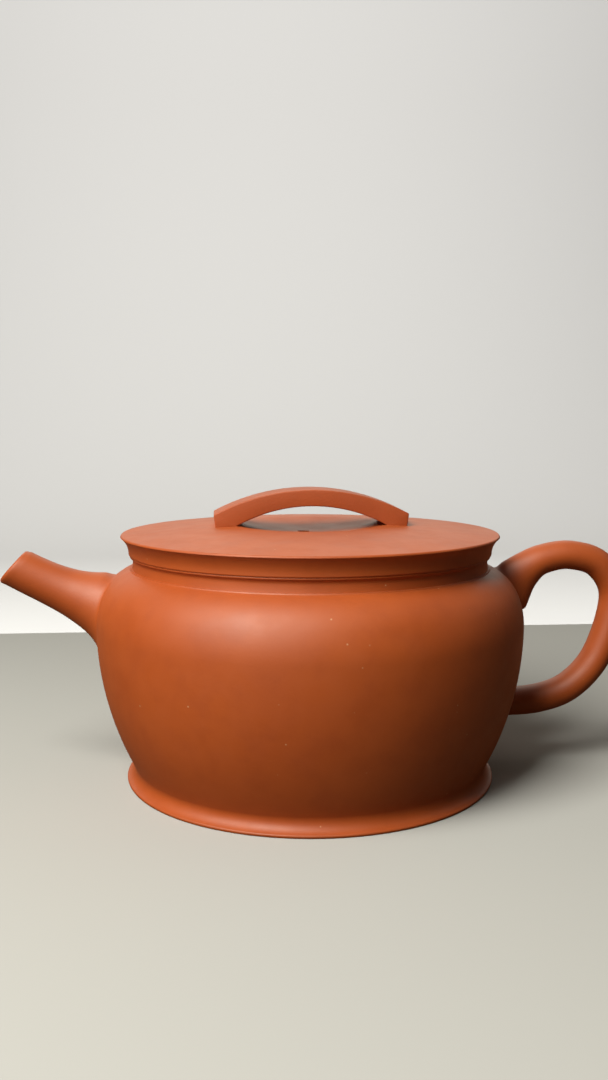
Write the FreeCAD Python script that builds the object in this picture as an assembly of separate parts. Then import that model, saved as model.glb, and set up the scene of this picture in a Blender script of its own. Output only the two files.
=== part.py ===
"""A low round clay teapot with a bridge knob, as the clay pieces that a potter lutes together.

Millimetres. The origin is on the pot's axis, on the plane that it stands on. +Z is up, the handle
points along +X and the spout along -X.
"""
import FreeCAD, Part
import math
import os

Vector = FreeCAD.Vector

# Radii of the pot, each a step out or in from the one before it
MOUTH_RADIUS = 33.5
NECK_WALL = 3.65
LIP_FLARE = 0.45
COVE_STEP = 0.65
SLOPE_STEP = 4.0
SHOULDER_STEP = 1.85
BELLY_STEP = 1.2
WAIST_STEP = 6.35
FOOT_FLARE = 0.55

# Heights of the pot, each a rise from the one before it
FOOT_HEIGHT = 5.5
BELLY_RISE = 27.5
SHOULDER_RISE = 6.0
CORNER_RISE = 2.9
SLOPE_RISE = 2.6
NECK_RISE = 1.85
LIP_RISE = 1.15

# Clay of the pot
WALL = 2.8
BASE_THICKNESS = 2.8
FOOT_WIDTH = 4.8
FOOT_THROAT_STEP = 0.9
FOOT_THROAT_HEIGHT = 3.6
FOOT_HEEL_STEP = 1.0
FOOT_HEEL_HEIGHT = 2.1
FOOT_EDGE_HEIGHT = 0.35
FOOT_EDGE_ROUND = 0.2
LIP_ROUND = 0.4

# Lid
LID_CLEARANCE = 0.3
FLANGE_WALL = 2.6
FLANGE_DEPTH = 7.5
FLANGE_TAPER = 0.6
BAND_STEP = 0.85
BAND_HEIGHT = 1.4
BAND_ROUND = 0.4
RIM_OVERHANG = 1.6
RIM_RISE = 3.8
RIM_ROUND = 0.4
CROWN_RADIUS = 360.0
LID_THICKNESS = 3.0
DISH_RADIUS = 16.0
DISH_DEPTH = 1.9
DISH_THICKNESS = 2.2
VENT_DIAMETER = 2.6
VENT_OFFSET = -1.4

# Bridge knob, standing at the rim of the dish
BRIDGE_WIDTH = 10.5
BRIDGE_HEIGHT = 7.4
BRIDGE_THICKNESS = 3.4
BRIDGE_FOOT_LENGTH = 4.4
BRIDGE_FOOT_LAP = 0.5
BRIDGE_END_HEIGHT = 2.35
BRIDGE_END_LEAN = 0.4

# Spout, measured out from the belly and up from the belly's height
SPOUT_REACH = 17.1
SPOUT_TIP_RISE = 12.2
SPOUT_ROOT_DEPTH = 4.25
SPOUT_ROOT_RISE = 2.8
SPOUT_ROOT_SLOPE = 18.0
SPOUT_TIP_DIAMETER = 8.5
SPOUT_ROOT_DIAMETER = 18.5
SPOUT_FLARE_POWER = 3.4
SPOUT_TIP_WALL = 1.35
SPOUT_MOUTH_TILT = 42.0
SPOUT_SECTIONS = 9

# Pierced ball strainer at the root of the spout
STRAINER_RADIUS = 6.0
STRAINER_WALL = 1.4
STRAINER_SETBACK = 1.6
STRAINER_HOLE_DIAMETER = 1.5
STRAINER_RING_ANGLE = 31.0
STRAINER_RING_HOLES = 6
STRAINER_RINGS = 2

# Handle, whose middle line is measured out from the belly and up from the belly's height
HANDLE_LINE = (
    (-4.8, 7.4),
    (1.6, 10.7),
    (5.8, 12.4),
    (11.8, 13.1),
    (18.2, 10.9),
    (21.8, 3.9),
    (18.6, -8.4),
    (12.6, -15.6),
    (5.2, -18.5),
    (-4.8, -19.2),
)
HANDLE_THICKNESS = 6.2
HANDLE_WIDTH = 7.2
HANDLE_ROOT_DROP = 7.2
HANDLE_ROOT_FADE = 6.2
HANDLE_SECTIONS = 20
OVAL_POINTS = 12

# Radii that follow from the steps
NECK_RADIUS = MOUTH_RADIUS + NECK_WALL
LIP_RADIUS = NECK_RADIUS + LIP_FLARE
COVE_RADIUS = NECK_RADIUS + COVE_STEP
CORNER_RADIUS = COVE_RADIUS + SLOPE_STEP
SHOULDER_RADIUS = CORNER_RADIUS + SHOULDER_STEP
BELLY_RADIUS = SHOULDER_RADIUS + BELLY_STEP
WAIST_RADIUS = BELLY_RADIUS - WAIST_STEP
FOOT_RADIUS = WAIST_RADIUS + FOOT_FLARE
FOOT_INNER_RADIUS = FOOT_RADIUS - FOOT_WIDTH
FLANGE_RADIUS = MOUTH_RADIUS - LID_CLEARANCE
BAND_RADIUS = NECK_RADIUS + BAND_STEP
RIM_RADIUS = BAND_RADIUS + RIM_OVERHANG
CROWN_EDGE_RADIUS = RIM_RADIUS - RIM_ROUND

# Heights that follow from the rises
BELLY_Z = FOOT_HEIGHT + BELLY_RISE
SHOULDER_Z = BELLY_Z + SHOULDER_RISE
CORNER_Z = SHOULDER_Z + CORNER_RISE
COVE_Z = CORNER_Z + SLOPE_RISE
NECK_Z = COVE_Z + NECK_RISE
SEAT_Z = NECK_Z + LIP_RISE
PLATE_Z = SEAT_Z + BAND_HEIGHT
RIM_Z = SEAT_Z + RIM_RISE
CROWN_EDGE_Z = RIM_Z + RIM_ROUND

UP = Vector(0, 0, 1)
DOWN = Vector(0, 0, -1)
OUT = Vector(1, 0, 0)
ACROSS = Vector(0, 1, 0)
ORIGIN = Vector(0, 0, 0)
FULL_TURN = 360


def at(out, height):
    """A point in the plane of the spout and the handle."""
    return Vector(out, 0, height)


def crown_z(radius):
    """The height of the lid's crowned top at a distance from the axis."""
    edge_drop = math.sqrt(CROWN_RADIUS**2 - CROWN_EDGE_RADIUS**2)
    return CROWN_EDGE_Z + math.sqrt(CROWN_RADIUS**2 - radius**2) - edge_drop


DISH_RIM_Z = crown_z(DISH_RADIUS)
DISH_FLOOR_Z = DISH_RIM_Z - DISH_DEPTH
DISH_UNDER_Z = DISH_FLOOR_Z - DISH_THICKNESS


def lines(*points):
    """Straight edges from each point to the next."""
    return [Part.LineSegment(a, b).toShape() for a, b in zip(points, points[1:])]


def arc(start, leaving, end):
    """An arc that leaves start along a direction and reaches end, and its direction there."""
    chord = end - start
    along_chord = Vector(chord).normalize()
    along = leaving.dot(along_chord)
    sideways = leaving - along_chord * along
    middle = (start + end) * 0.5 + sideways * (chord.Length / 2 / (1 + along))
    return Part.Arc(start, middle, end).toShape(), along_chord * (2 * along) - leaving


def arc_chain(points, leaving):
    """Arcs through the points, each leaving as the last one ended, and the direction at each point."""
    edges = []
    directions = [leaving]
    for start, end in zip(points, points[1:]):
        edge, leaving = arc(start, leaving, end)
        edges.append(edge)
        directions.append(leaving)
    return edges, directions


def turned(edges):
    """The solid that a closed outline sweeps round the pot's axis."""
    outline = Part.Wire(Part.sortEdges(edges)[0])
    return Part.Face(outline).revolve(ORIGIN, UP, FULL_TURN)


def slab(low, high):
    """A round slab wider than the pot, to take a band out of a solid."""
    return Part.makeCylinder(2 * BELLY_RADIUS, high - low, at(0, low), UP)


def whole(shape):
    """The one solid of a piece, without the splitting lines that cutting leaves behind."""
    return max(shape.removeSplitter().Solids, key=lambda solid: solid.Volume)


def shoulder_points():
    """The outer line from the belly over the shoulder to the foot of the neck."""
    return [
        at(BELLY_RADIUS, BELLY_Z),
        at(SHOULDER_RADIUS, SHOULDER_Z),
        at(CORNER_RADIUS, CORNER_Z),
        at(COVE_RADIUS, COVE_Z),
    ]


def side_points():
    """The outer line from the belly down to the waist above the foot."""
    return [at(BELLY_RADIUS, BELLY_Z), at(WAIST_RADIUS, FOOT_HEIGHT)]


def pot_envelope():
    """All that the outer line of the pot holds, from the waist to the lid's seat."""
    shoulder, _ = arc_chain(shoulder_points(), UP)
    side, _ = arc_chain(side_points(), DOWN)
    neck = at(NECK_RADIUS, NECK_Z)
    lip = at(LIP_RADIUS, SEAT_Z - LIP_ROUND)
    lip_top = at(LIP_RADIUS - LIP_ROUND, SEAT_Z)
    cove, _ = arc(neck, DOWN, at(COVE_RADIUS, COVE_Z))
    lip_flare, _ = arc(neck, UP, lip)
    lip_round, _ = arc(lip, UP, lip_top)
    ends = lines(lip_top, at(0, SEAT_Z), at(0, FOOT_HEIGHT), at(WAIST_RADIUS, FOOT_HEIGHT))
    return turned(shoulder + side + [cove, lip_flare, lip_round] + ends)


def pot_hollow():
    """The space inside the clay, one wall's thickness in from the outer line, and the mouth."""
    _, up_line = arc_chain(shoulder_points(), UP)
    _, down_line = arc_chain(side_points(), DOWN)
    upper = [p - Vector(d.z, 0, -d.x) * WALL for p, d in zip(shoulder_points(), up_line)]
    lower = [p + Vector(d.z, 0, -d.x) * WALL for p, d in zip(side_points(), down_line)]
    shoulder, _ = arc_chain(upper, UP)
    side, _ = arc_chain(lower, DOWN)
    slope = up_line[-1]
    ceiling = upper[-1] + slope * ((MOUTH_RADIUS - upper[-1].x) / slope.x)
    mouth = lines(upper[-1], ceiling, at(MOUTH_RADIUS, SEAT_Z), at(0, SEAT_Z))
    floor = lines(at(0, SEAT_Z), at(0, FOOT_HEIGHT), at(lower[-1].x, FOOT_HEIGHT), lower[-1])
    return turned(shoulder + side + mouth + floor)


def foot_ring():
    """The ring that the pot stands on: a throat below the wall, a hollow flare and a rounded edge."""
    _, down_line = arc_chain(side_points(), DOWN)
    waist = at(WAIST_RADIUS, FOOT_HEIGHT)
    throat = at(WAIST_RADIUS - FOOT_THROAT_STEP, FOOT_THROAT_HEIGHT)
    heel = at(WAIST_RADIUS - FOOT_HEEL_STEP, FOOT_HEEL_HEIGHT)
    rim = at(FOOT_RADIUS - FOOT_EDGE_ROUND, 2 * FOOT_EDGE_HEIGHT)
    edge = at(FOOT_RADIUS, FOOT_EDGE_HEIGHT)
    sole = at(FOOT_RADIUS - FOOT_EDGE_ROUND, 0)
    outside, _ = arc_chain([waist, throat, heel, rim, edge, sole], down_line[-1])
    rest = lines(sole, at(FOOT_INNER_RADIUS, 0), at(FOOT_INNER_RADIUS, FOOT_HEIGHT), waist)
    return turned(outside + rest)


def base_disc():
    """The floor of the pot, set inside the foot ring and level with its top."""
    under = at(0, FOOT_HEIGHT - BASE_THICKNESS)
    return Part.makeCylinder(FOOT_INNER_RADIUS, BASE_THICKNESS, under, UP)


def spout_route():
    """The spout's middle line, from its root inside the wall to the middle of its mouth."""
    root = at(-BELLY_RADIUS + SPOUT_ROOT_DEPTH, BELLY_Z + SPOUT_ROOT_RISE)
    tip = at(-BELLY_RADIUS - SPOUT_REACH, BELLY_Z + SPOUT_TIP_RISE)
    slope = math.radians(SPOUT_ROOT_SLOPE)
    route, _ = arc(root, at(-math.cos(slope), math.sin(slope)), tip)
    return route


def spout_taper(root_radius, tip_radius, flare_power):
    """A round solid along the spout's line, run on past the tip, that widens towards the root."""
    route = spout_route()
    sections = []
    for step in range(SPOUT_SECTIONS):
        share = step / (SPOUT_SECTIONS - 1)
        place = route.getParameterByLength(route.Length * share)
        radius = tip_radius + (root_radius - tip_radius) * (1 - share) ** flare_power
        sections.append((route.valueAt(place), route.tangentAt(place), radius))
    tip, leaving, radius = sections[-1]
    sections.append((tip + leaving * SPOUT_TIP_DIAMETER, leaving, radius))
    rings = [Part.Wire(Part.Circle(*section).toShape()) for section in sections]
    return Part.makeLoft(rings, True)


def spout(envelope):
    """The spout, flared onto the wall, bored through and cut off at its mouth."""
    tip_radius = SPOUT_TIP_DIAMETER / 2
    outside = spout_taper(SPOUT_ROOT_DIAMETER / 2, tip_radius, SPOUT_FLARE_POWER)
    bore = spout_taper(STRAINER_RADIUS - STRAINER_WALL, tip_radius - SPOUT_TIP_WALL, 1)
    tilt = math.radians(SPOUT_MOUTH_TILT)
    mouth = at(-BELLY_RADIUS - SPOUT_REACH, BELLY_Z + SPOUT_TIP_RISE)
    away = at(-math.cos(tilt), math.sin(tilt))
    beyond_mouth = Part.makeCylinder(4 * SPOUT_TIP_DIAMETER, 4 * SPOUT_TIP_DIAMETER, mouth, away)
    return whole(outside.cut([envelope, bore, beyond_mouth]))


def strainer_place():
    """The middle of the strainer's ball, and the direction from it into the spout."""
    route = spout_route()
    into_spout = route.tangentAt(route.FirstParameter)
    return route.valueAt(route.FirstParameter) - into_spout * STRAINER_SETBACK, into_spout


def strainer_blank(radius):
    """A ball and the tube that runs from it out through the wall."""
    centre, into_spout = strainer_place()
    tube_length = STRAINER_SETBACK + SPOUT_ROOT_DEPTH + WALL
    tube = Part.makeCylinder(radius, tube_length, centre, into_spout)
    return Part.makeSphere(radius, centre).fuse(tube)


def strainer_holes():
    """Drills through the ball's wall: one along its axis and rings of more round it."""
    centre, into_spout = strainer_place()
    start = centre - into_spout * (STRAINER_RADIUS - STRAINER_WALL - STRAINER_HOLE_DIAMETER / 4)
    axial = Part.makeCylinder(STRAINER_HOLE_DIAMETER / 2, STRAINER_RADIUS, start, -into_spout)
    drills = [axial]
    for ring in range(1, STRAINER_RINGS + 1):
        tilted = axial.copy()
        tilted.rotate(centre, ACROSS, ring * STRAINER_RING_ANGLE)
        holes = ring * STRAINER_RING_HOLES
        for hole in range(holes):
            drill = tilted.copy()
            drill.rotate(centre, into_spout, FULL_TURN * hole / holes)
            drills.append(drill)
    return drills


def strainer_dome(envelope):
    """The pierced ball, on a short tube that fills the hole in the wall."""
    cup = strainer_blank(STRAINER_RADIUS).common(envelope)
    hollow = strainer_blank(STRAINER_RADIUS - STRAINER_WALL)
    return whole(cup.cut([hollow] + strainer_holes()))


def handle_oval(centre, direction, thickness):
    """A closed oval square to the handle's line."""
    half_width = ACROSS * (HANDLE_WIDTH / 2)
    half_thickness = Vector(-direction.z, 0, direction.x) * (thickness / 2)
    points = []
    for step in range(OVAL_POINTS):
        angle = 2 * math.pi * step / OVAL_POINTS
        points.append(centre + half_width * math.cos(angle) + half_thickness * math.sin(angle))
    oval = Part.BSplineCurve()
    oval.interpolate(points, PeriodicFlag=True)
    return Part.Wire(oval.toShape())


def handle(envelope):
    """The ear-shaped loop, whose underside drops to a tail where its upper end meets the shoulder."""
    line = Part.BSplineCurve()
    line.interpolate([at(BELLY_RADIUS + out, BELLY_Z + up) for out, up in HANDLE_LINE])
    route = line.toShape()
    ovals = []
    for step in range(HANDLE_SECTIONS):
        distance = route.Length * step / (HANDLE_SECTIONS - 1)
        place = route.getParameterByLength(distance)
        direction = route.tangentAt(place)
        drop = HANDLE_ROOT_DROP * math.exp(-((distance / HANDLE_ROOT_FADE) ** 2))
        under = Vector(direction.z, 0, -direction.x)
        centre = route.valueAt(place) + under * (drop / 2)
        ovals.append(handle_oval(centre, direction, HANDLE_THICKNESS + drop))
    return whole(Part.makeLoft(ovals, True).cut(envelope))


def lid_blank():
    """The lid's plate and edge band in one, with its hollowed side and its crowned top."""
    seat = at(BAND_RADIUS - BAND_ROUND, SEAT_Z)
    band = at(BAND_RADIUS, SEAT_Z + BAND_ROUND)
    rim = at(RIM_RADIUS, RIM_Z)
    crown_edge = at(CROWN_EDGE_RADIUS, CROWN_EDGE_Z)
    dish_rim = at(DISH_RADIUS, DISH_RIM_Z)
    middle_radius = (CROWN_EDGE_RADIUS + DISH_RADIUS) / 2
    crown = Part.Arc(crown_edge, at(middle_radius, crown_z(middle_radius)), dish_rim).toShape()
    band_round, _ = arc(band, DOWN, seat)
    side, _ = arc(band, UP, rim)
    rim_round, _ = arc(rim, UP, crown_edge)
    ends = lines(dish_rim, at(0, DISH_RIM_Z), at(0, SEAT_Z), seat)
    return turned([band_round, side, rim_round, crown] + ends)


def lid_edge_band(blank):
    """The ring under the rim that bears on the mouth."""
    inside = Part.makeCylinder(FLANGE_RADIUS, BAND_HEIGHT, at(0, SEAT_Z), UP)
    return whole(blank.common(slab(SEAT_Z, PLATE_Z)).cut(inside))


def lid_plate(blank):
    """The crowned plate, vaulted underneath and open in the middle for the dish."""
    flange_inside = FLANGE_RADIUS - FLANGE_WALL
    vault_top = DISH_RIM_Z - LID_THICKNESS
    vault = turned(
        lines(
            at(0, PLATE_Z),
            at(flange_inside, PLATE_Z),
            at(DISH_RADIUS, vault_top),
            at(0, vault_top),
            at(0, PLATE_Z),
        )
    )
    opening = Part.makeCylinder(DISH_RADIUS, DISH_RIM_Z - PLATE_Z, at(0, PLATE_Z), UP)
    return whole(blank.common(slab(PLATE_Z, DISH_RIM_Z)).cut([vault, opening]))


def recess_dish():
    """The shallow dish in the middle of the lid, with the steam vent through it."""
    floor = at(0, DISH_FLOOR_Z)
    rim = at(DISH_RADIUS, DISH_RIM_Z)
    bowl, _ = arc(floor, OUT, rim)
    under = at(0, DISH_UNDER_Z)
    disc = turned([bowl] + lines(rim, at(DISH_RADIUS, DISH_UNDER_Z), under, floor))
    vent_foot = at(VENT_OFFSET, DISH_UNDER_Z)
    vent = Part.makeCylinder(VENT_DIAMETER / 2, DISH_RIM_Z - DISH_UNDER_Z, vent_foot, UP)
    return whole(disc.cut(vent))


def lid_flange():
    """The wall under the lid that drops into the mouth, eased at its lower outer edge."""
    inner = FLANGE_RADIUS - FLANGE_WALL
    bottom = SEAT_Z - FLANGE_DEPTH
    corners = [
        at(inner, PLATE_Z),
        at(FLANGE_RADIUS, PLATE_Z),
        at(FLANGE_RADIUS, bottom + FLANGE_TAPER),
        at(FLANGE_RADIUS - FLANGE_TAPER, bottom),
        at(inner, bottom),
        at(inner, PLATE_Z),
    ]
    return turned(lines(*corners))


def bridge_knob(plate, dish):
    """The arched strap, its two feet cut to sit on the plate and on the rim of the dish."""
    inside = DISH_RADIUS - BRIDGE_FOOT_LAP
    outside = inside + BRIDGE_FOOT_LENGTH
    end_top = outside + BRIDGE_END_LEAN
    end_z = DISH_RIM_Z + BRIDGE_END_HEIGHT
    crest = at(0, DISH_RIM_Z + BRIDGE_HEIGHT)
    under_crest = crest - UP * BRIDGE_THICKNESS
    sunk_z = DISH_RIM_Z - LID_THICKNESS / 2
    top = Part.Arc(at(-end_top, end_z), crest, at(end_top, end_z)).toShape()
    under = Part.Arc(at(-inside, DISH_RIM_Z), under_crest, at(inside, DISH_RIM_Z)).toShape()
    outline = [top, under]
    for side in (-1, 1):
        foot = lines(
            at(side * inside, DISH_RIM_Z),
            at(side * inside, sunk_z),
            at(side * outside, sunk_z),
            at(side * end_top, end_z),
        )
        outline.extend(foot)
    face = Part.Face(Part.Wire(Part.sortEdges(outline)[0]))
    face.translate(-ACROSS * (BRIDGE_WIDTH / 2))
    return whole(face.extrude(ACROSS * BRIDGE_WIDTH).cut([plate, dish]))


def pieces():
    """Every clay piece of the teapot by name."""
    envelope = pot_envelope()
    hollow = pot_hollow()
    clay = envelope.cut(hollow)
    strainer_seat = strainer_blank(STRAINER_RADIUS)
    blank = lid_blank()
    plate = lid_plate(blank)
    dish = recess_dish()
    return {
        "foot_ring": foot_ring(),
        "base_disc": base_disc(),
        "body_wall": whole(clay.common(slab(FOOT_HEIGHT, SHOULDER_Z)).cut(strainer_seat)),
        "shoulder_disc": whole(clay.common(slab(SHOULDER_Z, COVE_Z)).cut(strainer_seat)),
        "neck_collar": whole(clay.common(slab(COVE_Z, NECK_Z))),
        "mouth_ring": whole(clay.common(slab(NECK_Z, SEAT_Z))),
        "spout": spout(envelope),
        "strainer_dome": strainer_dome(envelope),
        "handle": handle(envelope),
        "lid_edge_band": lid_edge_band(blank),
        "lid_plate": plate,
        "recess_dish": dish,
        "lid_flange": lid_flange(),
        "bridge_knob": bridge_knob(plate, dish),
    }


os.makedirs("parts", exist_ok=True)
for name, piece in pieces().items():
    piece.exportStep("parts/" + name + ".step")
    print(name, "valid" if piece.isValid() else "NOT VALID", round(piece.Volume), "mm3")
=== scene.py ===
"""A low round teapot of unglazed clay: the fired clay of its pot and lid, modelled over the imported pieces.

Metres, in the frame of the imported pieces: +Z is up along the pot's axis, the handle points along +X and
the spout along -X. The file is laid out as an add-on and is run as a script.
"""
import math

import bmesh
import bpy
from bpy.props import FloatProperty, FloatVectorProperty, IntProperty, PointerProperty
from mathutils import Matrix, Vector
from mathutils.geometry import interpolate_bezier


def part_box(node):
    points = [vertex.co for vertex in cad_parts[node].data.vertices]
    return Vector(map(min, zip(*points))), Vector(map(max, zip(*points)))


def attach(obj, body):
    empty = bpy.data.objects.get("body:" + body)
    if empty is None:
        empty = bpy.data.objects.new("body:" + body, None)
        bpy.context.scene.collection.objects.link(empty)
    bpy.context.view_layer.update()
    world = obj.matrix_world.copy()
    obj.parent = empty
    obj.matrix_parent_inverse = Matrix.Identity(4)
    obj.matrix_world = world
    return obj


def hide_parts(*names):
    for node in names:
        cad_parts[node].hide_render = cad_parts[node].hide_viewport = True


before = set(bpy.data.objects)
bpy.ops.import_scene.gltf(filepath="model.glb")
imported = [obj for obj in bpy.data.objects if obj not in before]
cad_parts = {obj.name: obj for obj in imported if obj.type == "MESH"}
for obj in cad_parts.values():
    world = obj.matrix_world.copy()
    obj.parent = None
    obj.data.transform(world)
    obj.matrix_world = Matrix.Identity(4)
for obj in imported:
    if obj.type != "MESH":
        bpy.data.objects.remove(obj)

bl_info = {
    "name": "Clay Teapot",
    "version": (1, 0, 0),
    "blender": (4, 5, 0),
    "location": "View3D > Sidebar > Teapot",
    "description": "Models the fired clay of a teapot over its packed pieces and sets it on a pale stage",
    "category": "Add Mesh",
}

MM = 0.001
FULL_TURN = 2 * math.pi
SMOOTH_ANGLE = math.radians(38)
MERGE_DISTANCE = 0.002 * MM
SEAM_DEPTH = 0.12 * MM
SEAM_STEPS = 7
SOFT_RINGS = 3
LIP_STEPS = 8
BEVEL_STEPS = 4
SWEEP_STEPS = 24
DRILL_CORNERS = 48
SMOOTH_ROUNDS = 6
SENSOR_WIDTH = 36.0
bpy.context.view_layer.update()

# Directions in an outline, which is drawn as (distance from the axis, height)
UP = Vector((0, 1))
DOWN = Vector((0, -1))
OUT = Vector((1, 0))


def reach(node):
    """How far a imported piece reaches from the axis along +X."""
    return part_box(node)[1].x


def top(node):
    """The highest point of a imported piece."""
    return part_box(node)[1].z


def bottom(node):
    """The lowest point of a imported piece."""
    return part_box(node)[0].z


# Sizes and colours that a user may change


def length(name, description, default):
    """A size in metres."""
    return FloatProperty(
        name=name, description=description, default=default, min=0.0, unit="LENGTH", precision=5
    )


def amount(name, description, default, least=0.0):
    """A plain number, such as a light's power in watts."""
    return FloatProperty(name=name, description=description, default=default, min=least)


def count(name, description, default, least):
    """A number of faces or rings."""
    return IntProperty(name=name, description=description, default=default, min=least)


def angle(name, description, degrees):
    """An angle, given in degrees."""
    return FloatProperty(name=name, description=description, default=math.radians(degrees), subtype="ANGLE")


def colour(name, description, default):
    """A colour in linear light."""
    return FloatVectorProperty(
        name=name, description=description, default=default, size=3, min=0.0, max=1.0, subtype="COLOR"
    )


class PotSizes(bpy.types.PropertyGroup):
    """Sizes of the pot's wall, foot, neck and mouth"""

    belly_radius: length("Belly radius", "Widest radius of the pot", reach("body_wall"))
    belly_height: length("Belly height", "Height of the widest place", 33.0 * MM)
    waist_radius: length("Waist radius", "Radius where the wall runs into the foot", 38.5 * MM)
    throat_radius: length("Throat radius", "Radius of the throat above the foot's flare", 37.6 * MM)
    throat_height: length("Throat height", "Height of the throat", 3.6 * MM)
    heel_radius: length("Heel radius", "Radius where the throat turns into the flare", 37.5 * MM)
    heel_height: length("Heel height", "Height where the throat turns into the flare", 2.1 * MM)
    foot_radius: length("Foot radius", "Radius of the foot at its rounded edge", 39.05 * MM)
    foot_edge: length("Foot edge", "Height of the rounded edge of the foot", 0.35 * MM)
    foot_round: length("Foot rounding", "How far the foot's edge stands out", 0.2 * MM)
    corner_radius: length("Corner radius", "Radius where the shoulder turns over", 41.8 * MM)
    corner_height: length("Corner height", "Height where the shoulder turns over", 41.9 * MM)
    cove_radius: length("Cove radius", "Radius at the foot of the neck", 37.3 * MM)
    ledge: length("Ledge", "Width of the narrow ledge at the neck's foot", 0.5 * MM)
    ledge_height: length("Ledge height", "Height of that ledge", 0.22 * MM)
    neck_radius: length("Neck radius", "Radius of the hollow of the neck", 37.15 * MM)
    mouth_radius: length("Mouth radius", "Radius of the mouth", 33.5 * MM)
    lip_round: length("Lip rounding", "Rounding of the edges of the mouth", 0.4 * MM)
    wall: length("Wall", "Thickness of the clay", 2.8 * MM)
    turn_steps: count("Turn steps", "Faces round the axis", 192, 24)
    arc_steps: count("Arc steps", "Faces along each arc of an outline", 12, 3)


class LidSizes(bpy.types.PropertyGroup):
    """Sizes of the lid and its flange"""

    band_radius: length("Band radius", "Radius of the edge band above the seat", 38.0 * MM)
    edge_round: length("Edge rounding", "Rounding of the band and of the rim", 0.4 * MM)
    rim_height: length("Rim height", "Height of the rim above the seat", 3.8 * MM)
    crown_radius: length("Crown radius", "Radius of the sphere that the top is part of", 360.0 * MM)
    dish_depth: length("Dish depth", "Depth of the dish in the middle", 1.7 * MM)
    dish_round: length("Dish edge rounding", "Rounding of the rim of the dish", 0.35 * MM)
    plate_thickness: length("Plate thickness", "Thickness of the lid beside the dish", 3.0 * MM)
    flange_wall: length("Flange wall", "Thickness of the flange", 2.6 * MM)
    flange_taper: length("Flange taper", "Easing of the flange's lower edge, half as much inside", 0.6 * MM)
    vent_diameter: length("Vent diameter", "Diameter of the steam vent", 2.6 * MM)
    vent_offset: length("Vent offset", "Distance of the vent from the axis, towards the spout", 1.4 * MM)


class SpoutSizes(bpy.types.PropertyGroup):
    """Sizes of the spout and of the strainer's hole"""

    reach: length("Reach", "Distance of the mouth from the belly", 17.1 * MM)
    rise: length("Rise", "Height of the mouth above the belly's height", 12.2 * MM)
    root_rise: length("Root rise", "Height of the root above the belly's height", 2.8 * MM)
    root_depth: length("Root depth", "Depth of the middle line's start inside the belly", 4.25 * MM)
    root_slope: angle("Root slope", "Slope of the middle line at the root", 18.0)
    mouth_tilt: angle("Mouth tilt", "Slope of the direction that the mouth faces", 42.0)
    tip_diameter: length("Tip diameter", "Outer diameter at the mouth", 8.5 * MM)
    root_diameter: length("Root diameter", "Outer diameter at the root", 18.5 * MM)
    flare_power: amount("Flare", "How late the spout widens", 3.4, 1.0)
    mouth_power: amount("Mouth power", "How late the spout turns to face as its mouth does", 6.0, 1.0)
    bore_diameter: length("Bore diameter", "Diameter of the bore at the root", 9.2 * MM)
    strainer_radius: length("Strainer radius", "Radius of the strainer's tube in the wall", 6.0 * MM)
    lip: length("Lip", "Thickness of the lip at the mouth", 1.35 * MM)
    free_from: length("Free from", "Distance from the root to where the spout stands clear", 4.6 * MM)
    luting: length("Luting", "Size of the soft clay seam round the root", 1.8 * MM)
    luting_drop: length("Luting drop", "How much further that seam reaches below", 3.6 * MM)
    luting_slope: angle("Luting slope", "Slope of the spout's flare where the seam begins", 42.0)
    corners: count("Corners", "Faces round the spout", 64, 12)
    rings: count("Rings", "Rings along the spout", 34, 6)


class HandleSizes(bpy.types.PropertyGroup):
    """Sizes of the handle"""

    thickness: length("Thickness", "Thickness in the plane of the loop", 6.2 * MM)
    width: length("Width", "Width across the loop", 7.2 * MM)
    root_drop: length("Root drop", "How far the underside drops to a tail at the upper end", 7.2 * MM)
    root_fade: length("Root fade", "Length over which the tail fades", 6.2 * MM)
    free_from: length("Free from", "Length at each end to where the handle stands clear", 2.9 * MM)
    luting: length("Luting", "Size of the soft clay seam round each end", 1.2 * MM)
    corners: count("Corners", "Faces round the handle", 48, 12)
    steps: count("Steps", "Rings from one point of the line to the next", 10, 2)


class BridgeSizes(bpy.types.PropertyGroup):
    """Sizes of the bridge over the dish"""

    thickness: length("Thickness", "Thickness of the strap at its crest", 3.4 * MM)
    foot_length: length("Foot length", "Length of each foot on the lid", 4.4 * MM)
    end_height: length("End height", "Height of each end above the dish's rim", 2.35 * MM)
    end_lean: length("End lean", "How far each end leans out", 0.4 * MM)
    foot_lap: length("Foot lap", "How far each foot laps over the dish", 0.5 * MM)
    sink: length("Sink", "Depth of the feet in the clay of the lid", 0.5 * MM)
    edge_round: length("Edge rounding", "Rounding of the strap's edges", 0.3 * MM)
    steps: count("Steps", "Faces along the arch", 48, 8)


class ClayColours(bpy.types.PropertyGroup):
    """Colours of the fired clay"""

    body: colour("Clay", "Colour of most of the clay", (0.33, 0.0565, 0.0062))
    warm: colour("Warm clay", "Colour of the warmer patches", (0.36, 0.0655, 0.0080))
    deep: colour("Deep clay", "Colour of the deeper patches", (0.28, 0.0445, 0.0046))
    speck: colour("Sand specks", "Colour of the pale grains of sand", (0.55, 0.32, 0.18))
    cut: colour("Cut clay", "Colour of the clay of the bridge", (0.26, 0.0420, 0.0046))
    raw: colour("Raw clay", "Colour of the clay that wasn't burnished", (0.30, 0.0590, 0.0115))


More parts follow.
